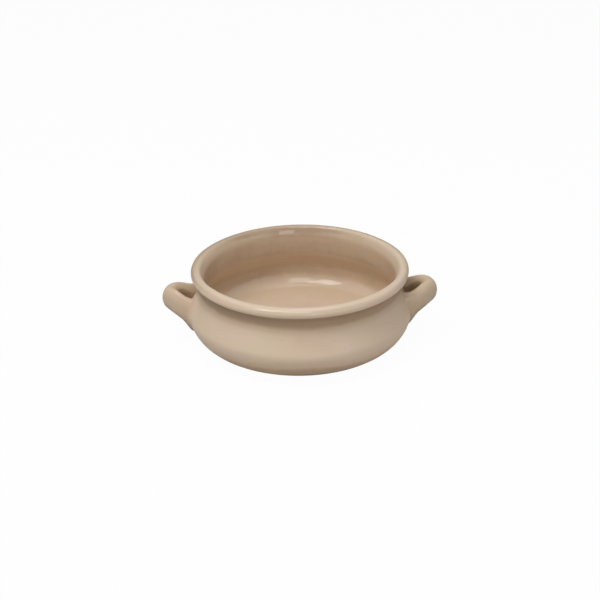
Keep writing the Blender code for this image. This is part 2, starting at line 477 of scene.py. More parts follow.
@dataclass(frozen=True)
class GlazeAndShade:
    """How deep the glaze lies on each part of the bowl: 0 is thin, 0.5 even, 1 pooled and 2 deep.

    Most of these depths are painted shade and painted light, laid over glaze that really thins on edges
    and pools in bends: painted shade in the crease under the lip, on the upper inner wall, round the
    inner ridge, in the corner by the floor, between the handle arms and towards the foot, and painted
    light on the floor and beside the handles. The back of the lip is painted darker than its front, as
    painted shade. The pairs that set this painted shade give the outside first and then the inside.
    """

    # inside: the level floor is painted lighter and the upper wall darker, as painted light and painted
    # shade
    floor: float = 0.20
    inside: float = 0.60
    collar: float = 0.76
    outside: float = 0.24
    # painted shade in the crease under the lip, over glaze that also pools there
    crease: float = 0.80
    back_lip_shade: Pair = (1.35, 0.90)
    # inside just under the lip: painted light at the left and right, painted shade at the front and
    # back
    sides: float = 1.00
    ends: float = 0.30
    # painted shade in a band on the outer roll of the lip
    rolled: float = 0.68
    # painted shade round the inner ridge
    ridge: float = 0.15
    # painted shade, darker towards the bottom of the outside
    foot: float = 2.50
    # painted shade in the inner corner between wall and floor
    hollow: float = 0.12
    between_arms_shade: float = 0.25
    beside_handles_light: float = 0.24
    collar_heights: Pair = (24 * MM, 34 * MM)
    ridge_height: float = 32.0 * MM
    ridge_reach: float = 4.0 * MM
    crease_height: float = 39.3 * MM
    crease_reach: float = 9.0 * MM
    lip_depth: float = 4.0 * MM
    roll_depths: tuple[float, float, float] = (0.1 * MM, 1.3 * MM, 3.4 * MM)
    back_lip_shade_starts: Pair = (-0.9, 0.0)
    back_lip_shade_turns: Pair = (math.radians(10), math.radians(25))
    foot_reach: float = 21.0 * MM
    foot_gather: float = 1.8
    flank_turns: Pair = (0.975, 1.0)
    side_turn: float = 0.5

    def down_wall(self, height: Array) -> Array:
        """Return the depth painted on the outside, down the wall, with painted shade in the crease
        under the lip and towards the foot.

        Args:
            height: Heights above the table.

        Returns:
            One depth for each height.
        """
        # painted shade: darker in the crease under the lip and towards the foot
        near_crease = 1 - smoothstep(np.abs(height - self.crease_height) / self.crease_reach)
        near_foot = np.clip(1 - height / self.foot_reach, 0, None) ** self.foot_gather
        return self.outside + self.crease * near_crease + self.foot * near_foot

    def flank_shade_and_light(self, angle: Array, height: Array) -> Array:
        """Return the painted shade between the arms of a handle, and the painted light on the belly
        beside them.

        Args:
            angle: Angles round the bowl from +X.
            height: Heights above the table.

        Returns:
            One depth for each place.
        """
        aside = np.abs(np.cos(angle))
        between = smoothstep(aside, *self.flank_turns)
        bellied = smoothstep((self.crease_height - height) / self.crease_reach)
        bellied = bellied * smoothstep(height / self.foot_reach)
        beside = smoothstep(aside / self.side_turn) * bellied
        # painted shade between the arms, painted light on the belly beside the handles
        return self.between_arms_shade * between - self.beside_handles_light * beside

    def along(self, section: Array, normal: Array, outside: Array) -> Array:
        """Return the depth painted along the bowl's section, with painted light on the level floor and
        painted shade on the inner wall, most on its upper band, round the ridge and in the corner by
        the floor.

        Args:
            section: (radius, height) rows.
            normal: Unit normals at those rows.
            outside: Which rows are on the outside.

        Returns:
            One depth for each row.
        """
        height = section[:, 1]
        # painted shade on the upper inner wall, painted light on the level floor
        wall = self.inside + (self.collar - self.inside) * smoothstep(height, *self.collar_heights)
        level = np.abs(normal[:, 1])
        inside = wall + (self.floor - wall) * smoothstep(level)
        # painted shade in the inner corner between wall and floor
        inside += self.hollow * 2 * level * np.abs(normal[:, 0]) * (height < self.collar_heights[0])
        # painted shade in a band round the inner ridge
        inside += self.ridge * (1 - smoothstep(np.abs(height - self.ridge_height) / self.ridge_reach))
        return np.where(outside, self.down_wall(height), inside)

    def around(self, section: Array, outside: Array, angle: Array) -> Array:
        """Return how much deeper the glaze lies at places round the bowl.

        Args:
            section: (radius, height) rows.
            outside: Which rows are on the outside.
            angle: Angles round the bowl from +X.

        Returns:
            One depth for each row and angle.
        """
        drop = section[:, 1].max() - section[:, 1]
        below = drop / self.lip_depth
        past_lip = smoothstep(below - 1)
        under_lip = smoothstep(below * 2) * (1 - past_lip) * ~outside
        top, middle, low = self.roll_depths
        on_roll = smoothstep(drop, top, middle) * smoothstep(drop, low, middle)
        # painted shade: the back of the lip is painted darker than its front
        start = np.where(outside, *self.back_lip_shade_starts)[:, None]
        turn = np.where(outside, *self.back_lip_shade_turns)[:, None]
        to_back = smoothstep(np.sin(angle - turn), start)
        back_lip_shade = np.where(outside, *self.back_lip_shade) * (1 - smoothstep(below))
        return (
            back_lip_shade[:, None] * to_back
            # painted light at the left and right and painted shade at the front and back, just inside
            # the lip
            + np.outer(under_lip, self.ends * np.sin(angle) ** 2 - self.sides * np.cos(angle) ** 2)
            + (past_lip * outside)[:, None] * self.flank_shade_and_light(angle, section[:, 1, None])
            # painted shade in a band on the outer roll of the lip
            + (self.rolled * on_roll * outside)[:, None]
        )


@dataclass
class ThrownBowl:
    """The bowl: floor, wall, rolled lip and foot, with the marks of the throwing.

    pool_shares says how much glaze gathers in a bend, outside and inside.
    """

    wall: WallProfile
    touch: HandTouch
    around: int = 224
    rows: int = 290
    side_lip_round: float = 3.4 * MM
    side_lip_angle: float = math.radians(150)
    side_turns: Pair = (0.8, 1.0)
    near_axis: float = 0.4 * MM
    mark_pitch: float = 3.6 * MM
    mark_depth: float = 0.010 * MM
    coat: GlazeAndShade = field(default_factory=GlazeAndShade)
    pool_reach: float = 4.0 * MM
    pool_shares: Pair = (0.5, 0.3)
    middle_coat: float = 0.5
    wiped_height: float = 1.0 * MM
    shiny_lip: Pair = (2.5 * MM, 3.7 * MM)

    def section(self, wall: WallProfile) -> Array:
        """Return evenly spaced points of a section, from the floor's middle to the underside's.

        Args:
            wall: The section's profile.

        Returns:
            (radius, height) rows, as many for every profile.
        """
        line = np.concatenate(
            (
                [(self.near_axis, wall.floor)],
                wall.inside()[:0:-1],
                wall.lip(),
                wall.outside(),
                wall.underside(),
                [(self.near_axis, wall.foot_recess)],
            )
        )
        length = lengths_along(line)[-1]
        return resample(line, np.linspace(0, length, self.rows))

    def build(self) -> Object:
        """Build the bowl.

        Returns:
            The bowl's mesh object.
        """
        section = self.section(self.wall)
        rounder = replace(self.wall, lip_round=self.side_lip_round, lip_inner_angle=self.side_lip_angle)
        side_shift = self.section(rounder) - section
        along = np.gradient(section, axis=0)
        normal = unit(np.stack((along[:, 1], -along[:, 0]), axis=1))
        angle = np.linspace(0, 2 * math.pi, self.around, endpoint=False)

        place = lengths_along(section)[:, None]
        marks = self.mark_depth * np.cos(2 * math.pi * place / self.mark_pitch + angle)
        to_side = smoothstep(np.abs(np.cos(angle)), *self.side_turns)
        radius, height = (
            section[:, i, None] + side_shift[:, i, None] * to_side - normal[:, i, None] * marks
            for i in range(2)
        )
        standing = section[:, 1] < self.wall.foot_recess
        height[standing] = section[standing, 1][:, None]
        rings = np.stack((radius * np.cos(angle), radius * np.sin(angle), height), axis=-1)
        bowl = skin("thrown_bowl", self.touch.shape(rings), Ends.CLOSED)

        turn = np.gradient(np.unwrap(np.arctan2(along[:, 1], along[:, 0])))
        bend = turn / np.linalg.norm(along, axis=1)
        self.pour_glaze(bowl, section, normal, bend, angle)
        return bowl

    def pour_glaze(
        self, bowl: Object, section: Array, normal: Array, bend: Array, angle: Array
    ) -> None:
        """Store the painted depth, which holds pooled glaze, painted shade and painted light, how shiny
        the glaze is on the bowl, and where the foot is wiped.

        Args:
            bowl: The bowl's mesh object.
            section: The (radius, height) rows of its section.
            normal: Unit normals at those rows.
            bend: How sharply the section turns there, above 0 where it is hollow.
            angle: The angles round the bowl at which its points lie.
        """
        height = section[:, 1]
        outside = np.arange(len(section)) > np.argmax(height)
        gathered = np.where(outside, *self.pool_shares) * np.tanh(bend * self.pool_reach)
        pooled = self.coat.along(section, normal, outside) + gathered
        pooled = pooled[:, None] + self.coat.around(section, outside, angle)
        paint(bowl, "pooling_and_shade", pooled, self.middle_coat)
        near_crest = 1 - smoothstep(self.wall.height - height, *self.shiny_lip)
        levels = {
            "wiped": 1 - smoothstep(height / self.wiped_height),
            "gloss": np.where(outside, near_crest, 1.0),
        }
        for name, level in levels.items():
            paint(bowl, name, np.repeat(level[:, None], self.around, axis=1), 0.0)

    def dress(self, bowl: Object, material: Material) -> None:
        """Give the bowl its glaze and put it in the solid's place.

        Args:
            bowl: The bowl's mesh object.
            material: The glaze.
        """
        bowl.data.materials.append(material)
        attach(bowl, BODY)
        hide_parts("bowl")


@dataclass(frozen=True)
class LoopHeights:
    """How high the middle of one handle's strap sits: at its two roots and at its tip."""

    front: float
    back: float
    tip: float


@dataclass
class EarHandle:
    """One ear: a strap of clay bent into a loop that rises outward from the wall.

    The loop is laid out pointing along +X and mirrored for the left side. Its lines run along the
    strap from the front root round the tip to the back root, one line per place round the strap.
    """

    side: Side
    wall: WallProfile
    touch: HandTouch
    reach: float
    heights: LoopHeights
    tip_thickness: float = 10.0 * MM
    root_thickness: float = 7.8 * MM
    tip_depth: float = 14.2 * MM
    root_depth: float = 16.6 * MM
    root_spacing: float = 18.2 * MM
    outer_fullness: Pair = (1.55, 2.0)
    inner_fullness: Pair = (2.2, 2.2)
    flare_down: float = 4.6 * MM
    flare_length: float = 6.5 * MM
    tip_rounding: float = 0.4
    gloss: float = 0.35
    coat: float = 0.65
    # painted shade inside the loop, painted light on the top of the strap and painted shade under it
    hole_shade: float = 1.5
    top_light: float = 0.3
    hole_turns: Pair = (0.75, 1.0)
    underside_shade: float = 1.0
    underside_gather: int = 4
    run_in: float = 8.0 * MM
    sunk: float = 2.0 * MM
    sides: int = 48
    rings: int = 110
    fine_steps: int = 400

    @property
    def turn(self) -> Array:
        """Return the angle of each line round the strap, from its outer face over its top."""
        return np.linspace(0, 2 * math.pi, self.sides, endpoint=False)

    def outline(self, root: float, length: float, half_width: float, fullness: Pair) -> Array:
        """Return one face of the strap in plan, with both ends run on into the wall.

        Args:
            root: How far out the loop starts.
            length: The face's reach from there.
            half_width: Half its width at the root.
            fullness: How squarely the face turns round the tip, in front and at the back.

        Returns:
            An array of (x, y) rows from the front root to the back root.
        """
        angle = np.linspace(-math.pi / 2, math.pi / 2, self.fine_steps)
        off_tip = smoothstep(np.abs(np.sin(angle)) / self.tip_rounding)
        power = 2 / (2 + (np.where(angle < 0, *fullness) - 2) * off_tip)
        across = np.abs(np.sin(angle)) ** power
        out = np.clip(np.cos(angle), 0, None) ** power
        face = np.stack((root + length * out, half_width * np.sign(angle) * across), axis=1)
        inward = np.array((-self.run_in, 0.0))
        return np.concatenate(([face[0] + inward], face, [face[-1] + inward]))

    def lines(self) -> Array:
        """Lay out the strap.

        Returns:
            The strap's lines, as (place round the strap, place along it, xyz).
        """
        half_spacing = self.root_spacing / 2
        half_root = self.root_thickness / 2
        root_height = (self.heights.front + self.heights.back) / 2
        root = math.sqrt(float(self.wall.radius_at(root_height)) ** 2 - half_spacing**2)
        outer_length = self.reach - root
        inner_length = outer_length - self.tip_thickness
        outer = self.outline(root, outer_length, half_spacing + half_root, self.outer_fullness)
        inner = self.outline(root, inner_length, half_spacing - half_root, self.inner_fullness)

        middle = (outer + inner) / 2
        half_side = (outer - inner) / 2
        share = np.clip((middle[:, 0] - root) / (outer_length - self.tip_thickness / 2), 0, 1)
        root_heights = np.where(middle[:, 1] < 0, self.heights.front, self.heights.back)
        height = root_heights + (self.heights.tip - root_heights) * smoothstep(share)
        half_depth = (self.root_depth + (self.tip_depth - self.root_depth) * share**2) / 2
        near_root = smoothstep(1 - (middle[:, 0] - root) / self.flare_length)
        half_flare = self.flare_down * near_root / 2
        height -= half_flare
        half_depth += half_flare

        turn = self.turn[:, None]
        flat = middle[None] + half_side[None] * np.cos(turn)[..., None]
        up = height[None] + half_depth[None] * np.sin(turn)
        return np.concatenate((flat, up[..., None]), axis=-1)

    def freed(self, line: Array) -> Pair:
        """Return the lengths along a line at which it leaves and meets the wall.

        Args:
            line: One of the strap's lines.

        Returns:
            The lengths of its two places on the wall, front and back.
        """
        along = lengths_along(line)
        gap = self.wall.gap(line)
        free = np.flatnonzero(gap > 0)
        first, last = free[0], free[-1]
        start = np.interp(0, gap[first - 1 : first + 1], along[first - 1 : first + 1])
        stop = np.interp(0, gap[last : last + 2][::-1], along[last : last + 2][::-1])
        return float(start), float(stop)

    def depth(self) -> Array:
        """Return the depth painted round the strap: painted shade inside the loop and under the strap,
        and painted light on its top.

        Returns:
            One depth for each of the strap's lines.
        """
        up, inward = np.sin(self.turn), -np.cos(self.turn)
        # painted shade inside the loop and under the strap, painted light on its top
        depth = self.coat + (self.hole_shade - self.coat) * smoothstep(inward, *self.hole_turns)
        depth -= self.top_light * np.clip(up, 0, None) ** 2
        return depth + self.underside_shade * np.clip(-up, 0, None) ** self.underside_gather

    def place(self, points: Array) -> Array:
        """Return points of the laid-out loop on this handle's own side of the dish."""
        sided = points * np.array((self.side.value, 1, 1))
        return self.touch.shape(sided)

    def build(self) -> Object:
        """Build the handle, with its ends just inside the wall.

        Returns:
            The handle's mesh object.
        """
        rows = []
        for line in self.lines():
            start, stop = self.freed(line)
            rows.append(resample(line, np.linspace(start - self.sunk, stop + self.sunk, self.rings)))
        rings = self.place(np.stack(rows, axis=1))
        handle = skin(f"ear_handle_{self.side.label}", rings, Ends.CLOSED)
        paint(handle, "pooling_and_shade", np.repeat(self.depth()[None], self.rings, axis=0), self.coat)
        paint(handle, "gloss", np.full((self.rings, self.sides), self.gloss), self.gloss)
        return handle

    def dress(self, handle: Object, material: Material) -> None:
        """Give the handle its glaze and put it in the solid's place.

        Args:
            handle: The handle's mesh object.
            material: The glaze.
        """
        handle.data.materials.append(material)
        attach(handle, BODY)
        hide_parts(f"handle_{self.side.label}")


@dataclass(frozen=True)
class SlipSpread:
    """How far the slip is smoothed out on each side of a root.

    On top, it runs out along the strap by a share of its width on the wall, and its fillet is
    filled out by another share of the way to a straight slope.
    """

    outer: float
    top: float
    inner: float
    bottom: float
    along: float = 1.0
    fullness: float = 0.0

    def widths(self, turn: Array) -> Array:
        """Return how wide the slip lies on the wall round a root.

        Args:
            turn: Angles round the strap, from its outer face over its top.

        Returns:
            One width for each angle.
        """
        corners = np.array((self.outer, self.top, self.inner, self.bottom, self.outer))
        quarter = turn / (math.pi / 2)
        low = quarter.astype(int)
        return corners[low] + (corners[low + 1] - corners[low]) * smoothstep(quarter - low)


@dataclass
class SlipCollar:
    """The slip at one root of a handle, smoothed into a fillet between the strap and the wall."""

    handle: EarHandle
    arm: Arm
    spread: SlipSpread
    glaze: GlazeAndShade
    tuck: float = 0.9 * MM
    tuck_depth: float = 0.10 * MM
    core_depth: float = 1.2 * MM
    # painted shade in narrow seams between strap and wall, most under the root; wide fillets are
    # painted lighter
    seam_shade: float = 0.5
    seam_reach: float = 3.5 * MM
    seam_run: float = 3.0
    steps: int = 12

    def on_strap(self, reach: Array) -> Array:
        """Return three rings on the strap: tucked in past the slip, at the slip's edge and at the wall.

        Args:
            reach: How far the slip runs along each of the strap's lines.

        Returns:
            The rings, as (ring, line, xyz).
        """
        rows = []
        for line, far in zip(self.handle.lines(), reach):
            start, stop = self.handle.freed(line)
            at, way = (start, 1) if self.arm is Arm.FRONT else (stop, -1)
            places = np.array((at + way * (far + self.tuck), at + way * far, at))
            rows.append(resample(line, places))
        return np.stack(rows, axis=1)

    def fillet(self, strap: Array, roots: Array, edge: Array, fullness: Array) -> Array:
        """Return the rings of the hollow curve between the strap and the wall.

        Args:
            strap: The ring where the curve leaves the strap.
            roots: The ring where the strap meets the wall.
            edge: The ring where the curve meets the wall.
            fullness: How far each line of the curve is filled out to a straight slope.

        Returns:
            The rings, as (ring, line, xyz).
        """
        flat = self.handle.wall.normal_at(edge)
        share = np.sum((edge - strap) * flat, axis=1) / np.sum((roots - strap) * flat, axis=1)
        corner = strap + (roots - strap) * share[:, None]
        corner += ((strap + edge) / 2 - corner) * fullness[:, None]
        t = np.linspace(0, 1, self.steps)[:, None, None]
        return strap * (1 - t) ** 2 + corner * 2 * t * (1 - t) + edge * t**2

    def build(self) -> Object:
        """Build the collar, a ring round the root.

        Returns:
            The collar's mesh object.
        """
        handle, wall = self.handle, self.handle.wall
        on_top = smoothstep(np.sin(handle.turn))
        width = self.spread.widths(handle.turn)
        tucked, strap, roots = self.on_strap(width * (1 + (self.spread.along - 1) * on_top))
        tucked += unit(strap.mean(axis=0) - tucked) * self.tuck_depth

        seam = np.roll(roots, -1, axis=0) - np.roll(roots, 1, axis=0)
        away = unit(np.cross(wall.normal_at(roots), seam))
        away *= np.sign(np.sum(away * (roots - roots.mean(axis=0)), axis=1))[:, None]
        edge = wall.on_wall(roots + away * width[:, None])
        buried = wall.on_wall(roots + away * (width + self.tuck)[:, None], -self.tuck_depth)
        core = wall.on_wall(roots, -self.core_depth)

        fillet = self.fillet(strap, roots, edge, self.spread.fullness * on_top)
        rings = np.concatenate((tucked[None], fillet, buried[None], core[None]))
        name = f"slip_collar_{handle.side.label}_{self.arm.label}"
        collar = skin(name, handle.place(rings), Ends.JOINED)
        self.pour_glaze(collar, width, edge)
        return collar

    def pour_glaze(self, collar: Object, width: Array, edge: Array) -> None:
        """Store the painted depth on the collar, with painted shade in its seam, and how shiny the
        glaze is there.

        Args:
            collar: The collar's mesh object.
            width: How wide the slip lies on the wall, for each line.
            edge: The ring where the slip meets the wall.
        """
        handle, glaze = self.handle, self.glaze
        to_wall = np.concatenate(([0.0], np.linspace(0, 1, self.steps), [1.0, 1.0]))[:, None]
        angle, height = np.arctan2(edge[:, 1], edge[:, 0]), edge[:, 2]
        on_wall = glaze.down_wall(height) + glaze.flank_shade_and_light(angle, height)
        underneath = np.clip(-np.sin(handle.turn), 0, None)
        # painted shade in narrow seams, most under the root, and lighter on wide fillets
        seam = self.seam_shade * (1 - width / self.seam_reach) * (1 + self.seam_run * underneath)
        pooled = handle.depth() + (on_wall - handle.depth()) * to_wall
        paint(collar, "pooling_and_shade", pooled + np.sin(math.pi * to_wall) ** 2 * seam, 0.0)
        paint(collar, "gloss", np.repeat(handle.gloss * (1 - to_wall), handle.sides, axis=1), 0.0)

    def dress(self, collar: Object, material: Material) -> None:
        """Give the collar its glaze and put it in the solid's place.

        Args:
            collar: The collar's mesh object.
            material: The glaze.
        """
        collar.data.materials.append(material)
        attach(collar, BODY)
        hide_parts(f"luting_slip_{self.handle.side.label}_{self.arm.label}")


Value = float | Rgba | NodeSocket
Inputs = dict[str | int, Value]


class Detail(Enum):
    """How many finer layers a noise holds."""

    SOFT = 1.0
    CLOUDED = 2.0
    FINE = 3.0


@dataclass
class NodeSheet:
    """A node tree that is being drawn.

    A mix node's sockets share their names, so they go by number.
    """

    tree: NodeTree

    def wire(self, node: Node, inputs: Inputs) -> None:
        """Set or link a node's inputs.

        Args:
            node: The node.
            inputs: A value, or a socket to link from, for each named or numbered input.
        """
        for key, value in inputs.items():
            if isinstance(value, NodeSocket):
                self.tree.links.new(value, node.inputs[key])
            else:
                node.inputs[key].default_value = value

    def add(self, kind: str, inputs: Inputs | None = None, **settings: object) -> Node:
        """Return a new node.

        Args:
            kind: The node's type.
            inputs: What its inputs take.
            **settings: The node's own settings.

        Returns:
            The node.
        """
        node = self.tree.nodes.new(kind)
        for name, setting in settings.items():
            setattr(node, name, setting)
        self.wire(node, inputs or {})
        return node

    def group(self, tree: NodeTree, inputs: Inputs) -> Node:
        """Return a shared group, placed with its own values."""
        return self.add("ShaderNodeGroup", inputs, node_tree=tree)

    def attribute(self, name: str) -> NodeSocket:
        """Return a number that the piece's points hold."""
        return self.add("ShaderNodeAttribute", attribute_name=name).outputs["Fac"]

    def math(self, operation: str, first: Value, second: Value) -> NodeSocket:
        """Return the result of a sum, product or the like on two values."""
        return self.add("ShaderNodeMath", {0: first, 1: second}, operation=operation).outputs[0]

    def ramp(self, value: Value, low: Value, high: Value) -> NodeSocket:
        """Return an eased step from 0 at one value to 1 at another."""
        inputs = {"Value": value, "From Min": low, "From Max": high}
        return self.add("ShaderNodeMapRange", inputs, interpolation_type="SMOOTHSTEP").outputs["Result"]

    def blend(self, share: Value, first: Value, second: Value, kind: str = "MIX") -> NodeSocket:
        """Return a mix of two colours."""
        inputs = {0: share, 6: first, 7: second}
        return self.add("ShaderNodeMix", inputs, data_type="RGBA", blend_type=kind).outputs[2]

    def lerp(self, share: Value, first: Value, second: Value) -> NodeSocket:
        """Return a mix of two numbers."""
        return self.add("ShaderNodeMix", {0: share, 2: first, 3: second}, data_type="FLOAT").outputs[0]

    def noise(self, size: Value, detail: Detail) -> NodeSocket:
        """Return noise over the piece.

        Args:
            size: Width of its patches, in metres.
            detail: How fine it gets.

        Returns:
            Values round 0.5.
        """
        place = self.add("ShaderNodeTexCoord").outputs["Object"]
        scale = self.math("DIVIDE", 1.0, size)
        inputs = {"Vector": place, "Scale": scale, "Detail": detail.value}
        return self.add("ShaderNodeTexNoise", inputs).outputs["Fac"]

    def centred(self, noise: Value) -> NodeSocket:
        """Return noise moved to lie round 0."""
        return self.math("SUBTRACT", noise, 0.5)


COLOUR = "NodeSocketColor"
NUMBER = "NodeSocketFloat"


@dataclass
class GlazeEffects:
    """The node groups that the dish's materials share, with the proportions inside each.

    A layer's depths are where it starts and where it covers what lies under it.
    """

    thin_depths: Pair = (0.5, 0.0)
    pooled_depths: Pair = (0.5, 1.0)
    deep_depths: Pair = (1.0, 2.0)
    fine_clouds: float = 5.0
    fine_share: float = 0.35
    warm_patch: float = 1.3
    warm_range: Pair = (0.35, 0.65)
    smallest_speck: float = 0.3
    speck_core: float = 0.4
    grain_share: float = 0.15
    dull_patch: float = 2.5
    dull_range: Pair = (0.3, 0.7)
    clouds: NodeTree = field(init=False)
    specks: NodeTree = field(init=False)
    skin: NodeTree = field(init=False)

    def __post_init__(self) -> None:
        """Draw each group once."""
        self.clouds = self.draw_clouds()
        self.specks = self.draw_specks()
        self.skin = self.draw_skin()

    def begin(
        self, name: str, inputs: dict[str, str], outputs: dict[str, str]
    ) -> tuple[NodeSheet, bpy_prop_collection, Node]:
        """Return an empty group with its sockets.

        Args:
            name: The group's name.
            inputs: The socket type of each named input.
            outputs: The socket type of each named output.

        Returns:
            The group's sheet, what it is given and its output node.
        """
        tree = bpy.data.node_groups.new(name, "ShaderNodeTree")
        for way, sockets in (("INPUT", inputs), ("OUTPUT", outputs)):
            for label, kind in sockets.items():
                tree.interface.new_socket(label, in_out=way, socket_type=kind)
        sheet = NodeSheet(tree)
        return sheet, sheet.add("NodeGroupInput").outputs, sheet.add("NodeGroupOutput")

    def draw_clouds(self) -> NodeTree:
        """Draw the glaze's colour from the painted depth: thin on edges, pooled in hollows, with
        painted light and painted shade where the depth was painted for them, and cloudy in between.

        Returns:
            The group's node tree.
        """
        colours = ("Glaze", "Thin", "Pooled", "Deep", "Blush", "Olive")
        numbers = ("Pooling_And_Shade", "Patch", "Strength")
        sheet, given, result = self.begin(
            "clouded_glaze",
            dict.fromkeys(colours, COLOUR) | dict.fromkeys(numbers, NUMBER),
            {"Color": COLOUR},
        )
        coarse = sheet.noise(given["Patch"], Detail.CLOUDED)
        fine = sheet.noise(sheet.math("DIVIDE", given["Patch"], self.fine_clouds), Detail.FINE)
        cloud = sheet.centred(sheet.lerp(self.fine_share, coarse, fine))
        depth = sheet.math("ADD", given["Pooling_And_Shade"], sheet.math("MULTIPLY", cloud, given["Strength"]))
        colour = given["Glaze"]
        layers = {"Thin": self.thin_depths, "Pooled": self.pooled_depths, "Deep": self.deep_depths}
        for layer, depths in layers.items():
            colour = sheet.blend(sheet.ramp(depth, *depths), colour, given[layer])
        warmth = sheet.noise(sheet.math("MULTIPLY", given["Patch"], self.warm_patch), Detail.SOFT)
        tint = sheet.blend(sheet.ramp(warmth, *self.warm_range), given["Olive"], given["Blush"])
        sheet.wire(result, {"Color": sheet.blend(1.0, colour, tint, "MULTIPLY")})
        return sheet.tree

    def draw_specks(self) -> NodeTree:
        """Draw the mask of the small iron specks that burn through from the clay.

        Returns:
            The group's node tree.
        """
        sheet, given, result = self.begin(
            "iron_specks", dict.fromkeys(("Spacing", "Size", "Share"), NUMBER), {"Mask": NUMBER}
        )
        place = sheet.add("ShaderNodeTexCoord").outputs["Object"]
        scale = sheet.math("DIVIDE", 1.0, given["Spacing"])
        cells = sheet.add("ShaderNodeTexVoronoi", {"Vector": place, "Scale": scale})
        lot = sheet.add("ShaderNodeSeparateColor", {"Color": cells.outputs["Color"]})
        chosen = sheet.math("LESS_THAN", lot.outputs["Red"], given["Share"])
        widest = sheet.math("MULTIPLY", given["Size"], scale)
        share = sheet.math("ADD", lot.outputs["Green"], self.smallest_speck)
        width = sheet.math("MULTIPLY", widest, share)
        core = sheet.math("MULTIPLY", width, self.speck_core)
        spot = sheet.ramp(cells.outputs["Distance"], width, core)
        sheet.wire(result, {"Mask": sheet.math("MULTIPLY", chosen, spot)})
        return sheet.tree

    def draw_skin(self) -> NodeTree:
        """Draw the faint ripple of a fired glaze, and where it is more or less shiny.

        Returns:
            The group's node tree.
        """
        sheet, given, result = self.begin(
            "fired_skin",
            dict.fromkeys(("Ripple", "Grain"), NUMBER),
            dict.fromkeys(("Height", "Dullness"), NUMBER),
        )
        ripple = sheet.noise(given["Ripple"], Detail.SOFT)
        grain = sheet.noise(given["Grain"], Detail.CLOUDED)
        dull = sheet.noise(sheet.math("MULTIPLY", given["Ripple"], self.dull_patch), Detail.FINE)
        height = sheet.lerp(self.grain_share, ripple, grain)
        sheet.wire(result, {"Height": height, "Dullness": sheet.ramp(dull, *self.dull_range)})
        return sheet.tree


@dataclass(frozen=True)
class GlazeFinish:
    """The beige glaze over buff stoneware."""

    name: str
    bare_foot: bool = False
    glaze: Rgba = (0.620, 0.475, 0.345, 1.0)
    # thin, pooled and deep also show painted light and painted shade, through the painted depth
    thin: Rgba = (0.690, 0.550, 0.417, 1.0)
    pooled: Rgba = (0.450, 0.320, 0.215, 1.0)
    deep: Rgba = (0.240, 0.165, 0.105, 1.0)
    blush: Rgba = (1.009, 0.996, 1.003, 1.0)
    olive: Rgba = (0.991, 1.003, 0.970, 1.0)
    speck: Rgba = (0.300, 0.190, 0.110, 1.0)
    clay: Rgba = (0.560, 0.440, 0.310, 1.0)
    patch: float = 22 * MM
    cloudiness: float = 0.5
    specular: float = 0.03
    roughness: float = 0.40
    dullest: float = 0.55
    gloss: float = 0.7
    dull_gloss: float = 0.08
    gloss_roughness: float = 0.09
    gloss_fades: Pair = (0.45, 0.85)
    clay_roughness: float = 0.85
    clay_mottle: float = 0.25
    bare_edge: Pair = (0.42, 0.58)
    ripple: float = 5 * MM
    grain: float = 0.6 * MM
    ripple_height: float = 0.03 * MM
    speck_spacing: float = 3.2 * MM
    speck_size: float = 0.35 * MM
    speck_share: float = 0.35
    speck_strength: float = 0.4

    def shine(self, sheet: NodeSheet) -> NodeSocket:
        """Return the weight of the glaze's gloss, which fades at grazing angles.

        Args:
            sheet: The material's sheet.

        Returns:
            The socket to link from.
        """
        facing = sheet.add("ShaderNodeLayerWeight").outputs["Facing"]
        kept = sheet.math("SUBTRACT", 1.0, sheet.ramp(facing, *self.gloss_fades))
        gloss = sheet.lerp(sheet.attribute("gloss"), self.dull_gloss, self.gloss)
        return sheet.math("MULTIPLY", kept, gloss)

    def wiped_foot(self, sheet: NodeSheet) -> tuple[NodeSocket, NodeSocket]:
        """Return where the foot is wiped bare, and the colour of the clay there.

        Args:
            sheet: The material's sheet.

        Returns:
            The sockets of the mask and the colour.
        """
        waver = sheet.centred(sheet.noise(self.ripple, Detail.CLOUDED))
        bare = sheet.ramp(sheet.math("ADD", sheet.attribute("wiped"), waver), *self.bare_edge)
        mottled = sheet.blend(sheet.noise(self.grain, Detail.FINE), self.clay, self.speck)
        return bare, sheet.blend(self.clay_mottle, self.clay, mottled)

    def material(self, effects: GlazeEffects) -> Material:
        """Return the glaze as a material.

        Args:
            effects: The shared node groups.

        Returns:
            A new material.
        """
        material = bpy.data.materials.new(self.name)
        material.use_nodes = True
        sheet = NodeSheet(material.node_tree)
        names = ("glaze", "thin", "pooled", "deep", "blush", "olive", "patch")
        layers = {name.capitalize(): getattr(self, name) for name in names}
        layers |= {"Pooling_And_Shade": sheet.attribute("pooling_and_shade"), "Strength": self.cloudiness}
        clouds = sheet.group(effects.clouds, layers)
        specks = sheet.group(
            effects.specks,
            {"Spacing": self.speck_spacing, "Size": self.speck_size, "Share": self.speck_share},
        )
        fired = sheet.group(effects.skin, {"Ripple": self.ripple, "Grain": self.grain})

        spotted = sheet.math("MULTIPLY", specks.outputs["Mask"], self.speck_strength)
        colour = sheet.blend(spotted, clouds.outputs["Color"], self.speck)
        rough = sheet.lerp(fired.outputs["Dullness"], self.roughness, self.dullest)
        gloss = self.shine(sheet)
        if self.bare_foot:
            bare, clay = self.wiped_foot(sheet)
            colour = sheet.blend(bare, colour, clay)
            rough = sheet.lerp(bare, rough, self.clay_roughness)
            gloss = sheet.lerp(bare, gloss, 0.0)
        bump = sheet.add(
            "ShaderNodeBump",
            {"Strength": 1.0, "Distance": self.ripple_height, "Height": fired.outputs["Height"]},
        )
        sheet.wire(
            material.node_tree.nodes["Principled BSDF"],
            {
                "Specular IOR Level": self.specular,
                "Coat Roughness": self.gloss_roughness,
                "Base Color": colour,
                "Roughness": rough,
                "Coat Weight": gloss,
                "Normal": bump.outputs["Normal"],
            },
        )
        return material


